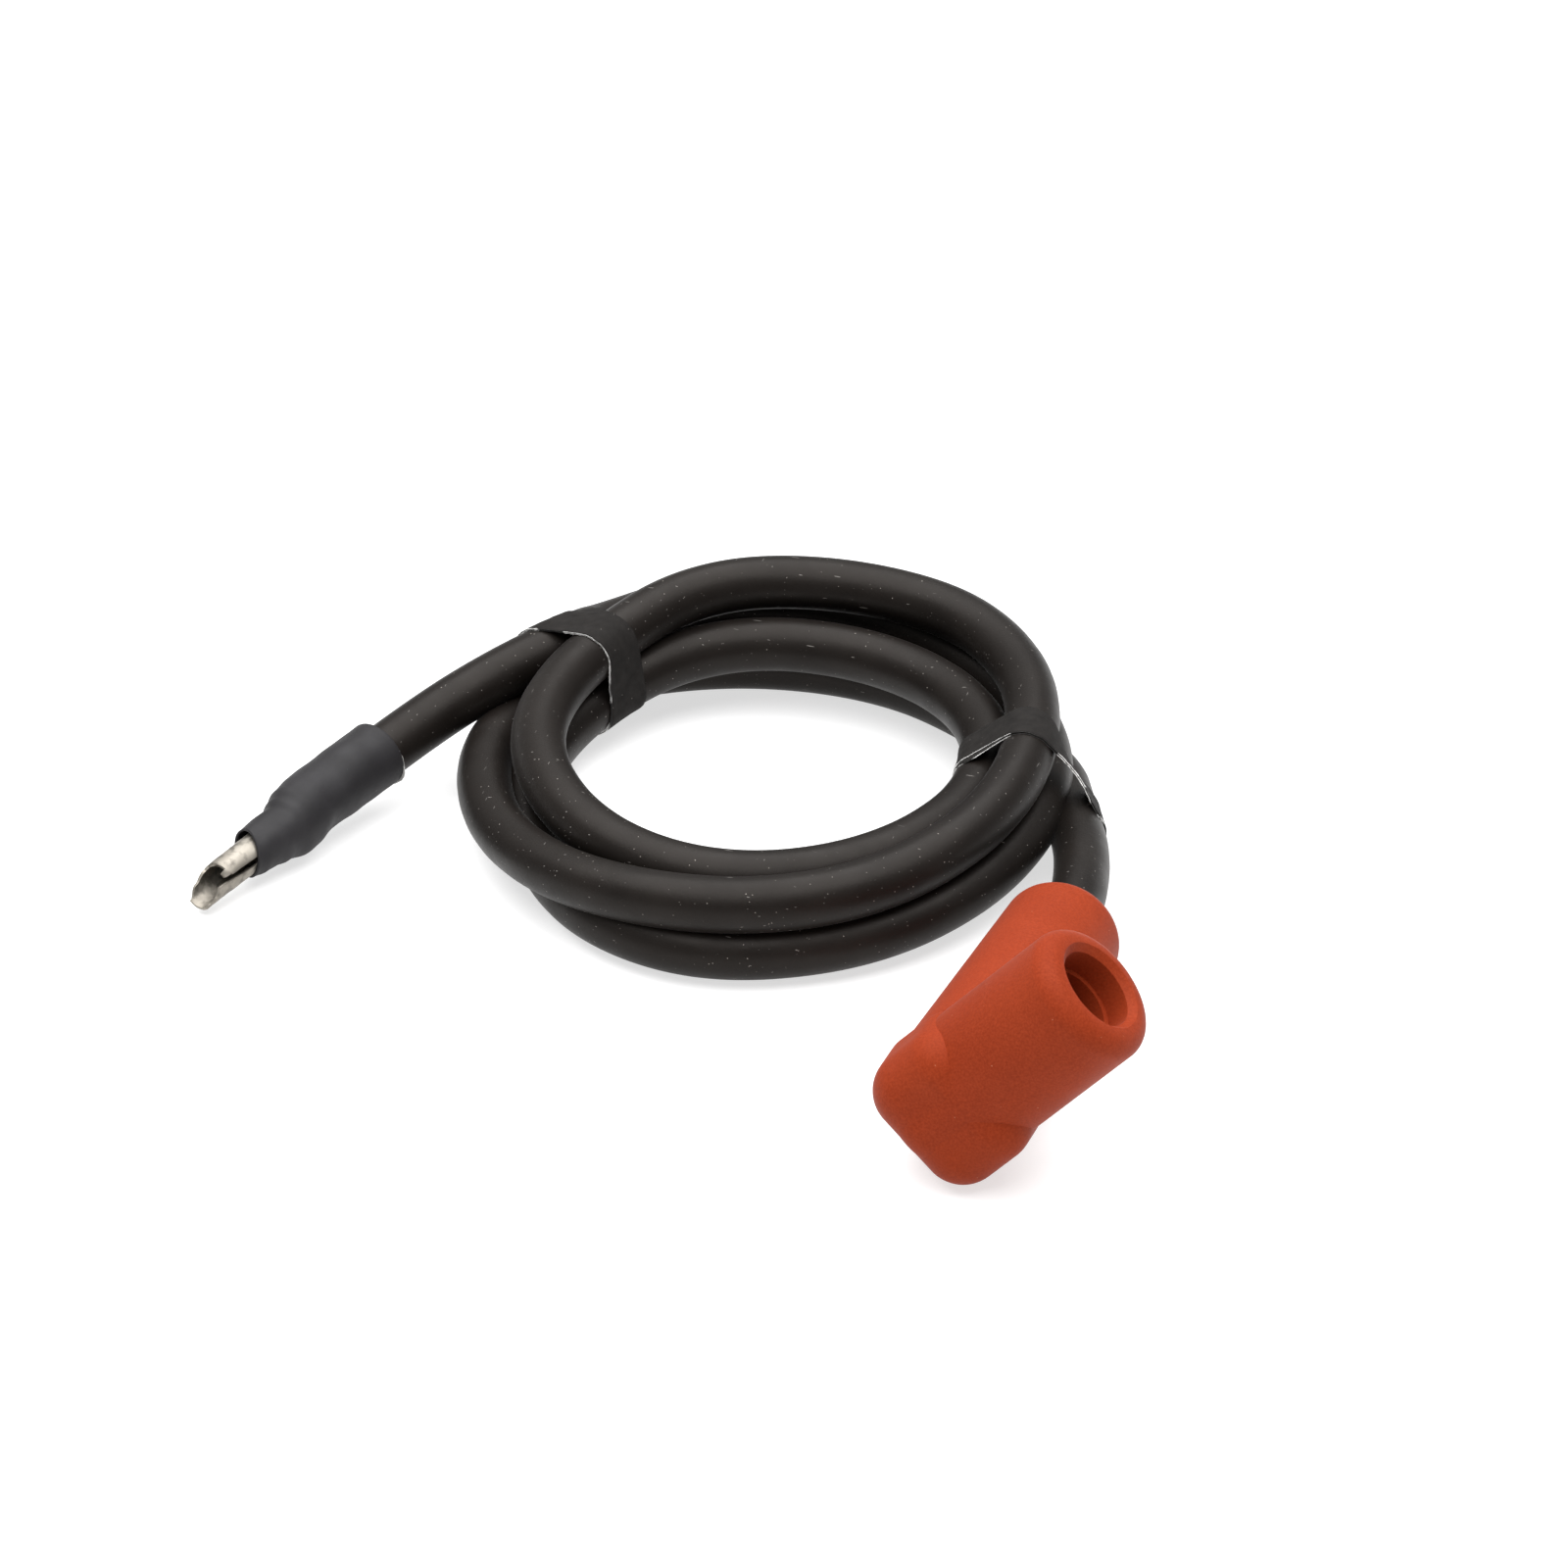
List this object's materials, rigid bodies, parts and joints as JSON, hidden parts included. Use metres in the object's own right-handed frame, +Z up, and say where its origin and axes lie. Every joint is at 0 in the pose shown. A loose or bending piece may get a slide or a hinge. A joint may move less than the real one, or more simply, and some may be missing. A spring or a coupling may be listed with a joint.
{
  "type": "ignition lead",
  "caption": "Coiled black silicone high-voltage ignition lead with a right-angle boot at one end and a heat-shrunk rolled terminal at the other.",
  "frame": {"origin": "under the middle of the right-angle boot, on the surface that the lead lies on", "axes": "+Z up, +Y along the boot's cable leg towards the cable, and the boot's socket leg rises towards +X"},
  "size_m": [0.1302, 0.123, 0.0318],
  "materials": {
    "silicone_boot": "matte red-orange moulded silicone",
    "cable_jacket": "satin black silicone with fine dust",
    "heat_shrink": "matte dark shrunk tube",
    "adhesive": "clear hot-melt bead",
    "tape": "matte black tape with pale torn edges",
    "tinned_metal": "bright tinned sheet",
    "spring_wire": "drawn spring wire",
    "braid": "woven glass fibre",
    "insulation": "translucent grey silicone"
  },
  "bodies": {
    "root": {"boot_elbow": "silicone_boot", "snap_terminal": "tinned_metal", "snap_spring": "spring_wire", "boot_end_braid": "braid", "boot_end_insulation": "insulation", "boot_end_core": "tinned_metal", "cable_lead": "cable_jacket", "cable_coil": "cable_jacket", "cable_tail": "cable_jacket", "tape_band_left": "tape", "tape_band_right": "tape", "tail_terminal": "tinned_metal", "tail_crimp_ferrule": "tinned_metal", "tail_end_core": "tinned_metal", "tail_end_insulation": "insulation", "tail_end_braid": "braid", "heat_shrink_sleeve": "heat_shrink", "sleeve_adhesive": "adhesive"}
  },
  "joints": []
}
